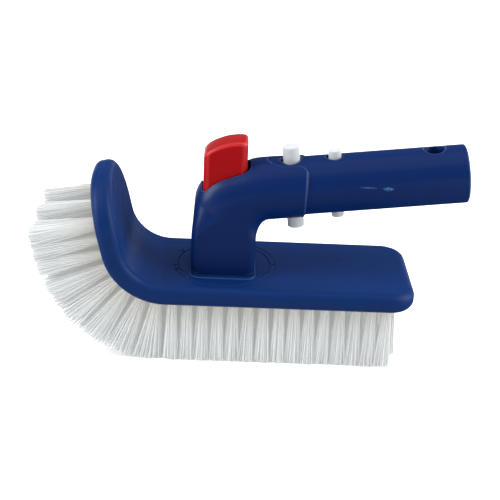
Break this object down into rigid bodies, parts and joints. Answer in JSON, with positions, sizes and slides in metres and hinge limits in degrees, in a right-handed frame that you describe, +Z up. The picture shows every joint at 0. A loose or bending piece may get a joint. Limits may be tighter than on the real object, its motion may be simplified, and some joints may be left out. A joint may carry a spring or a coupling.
{
  "type": "pool wall brush",
  "caption": "J-shaped pool wall brush with nylon bristles round its curved end, a push-button swivel under an angled spigot, and a spring clip that locks into a pole.",
  "frame": {"origin": "bottom centre of the box: the middle of the footprint at the height of the lowest bristle tips", "axes": "+X towards the free end of the head and the spigot's open end, +Z up along the swivel axis, bristles down"},
  "size_m": [0.2174, 0.064, 0.1118],
  "materials": {
    "blue_plastic": "moulded royal blue polypropylene, satin gloss",
    "red_plastic": "moulded red, gloss",
    "bristle_nylon": "white nylon filaments",
    "clip_nylon": "moulded white nylon",
    "acetal": "natural acetal",
    "stainless": "stainless steel"
  },
  "bodies": {
    "brush_head": {"brush_back": "blue_plastic", "bristle_row_1": "bristle_nylon", "bristle_row_2": "bristle_nylon", "bristle_row_3": "bristle_nylon", "bristle_row_4": "bristle_nylon", "bristle_row_5": "bristle_nylon", "pivot_hub": "acetal", "pivot_screw": "stainless", "pivot_washer": "stainless", "thrust_washer": "acetal"},
    "handle": {"handle": "blue_plastic", "bearing_plate": "blue_plastic", "plate_screw_1": "stainless", "plate_screw_2": "stainless", "plate_screw_3": "stainless", "plate_screw_4": "stainless", "return_spring": "stainless", "clip_bow": "clip_nylon"},
    "release_button": {"release_button": "red_plastic"},
    "lock_gear": {"lock_gear": "acetal"},
    "clip_arm_upper": {"clip_arm_upper": "clip_nylon"},
    "clip_arm_lower": {"clip_arm_lower": "clip_nylon"}
  },
  "joints": [
    {"name": "head_swivel", "type": "hinge", "parent": "brush_head", "child": "handle", "pos_m": [-0.01257, 0, 0.04218], "axis": [0, 0, 1], "range_deg": [-135, 135]},
    {"name": "button_press", "type": "slide", "parent": "handle", "child": "release_button", "axis": [0, 0, -1], "range_m": [0, 0.005]},
    {"name": "gear_drop", "type": "slide", "parent": "handle", "child": "lock_gear", "axis": [0, 0, -1], "range_m": [0, 0.005], "deforming": ["return_spring"]},
    {"name": "clip_upper_squeeze", "type": "hinge", "parent": "handle", "child": "clip_arm_upper", "pos_m": [0.0686, 0, 0.10252], "axis": [0, -1, 0], "range_deg": [0, 6.8]},
    {"name": "clip_lower_squeeze", "type": "hinge", "parent": "handle", "child": "clip_arm_lower", "pos_m": [0.07103, 0, 0.08267], "axis": [0, 1, 0], "range_deg": [0, 6.8]}
  ],
  "couplings": [
    {"joint": "gear_drop", "follows": "button_press", "ratio": 1}
  ]
}
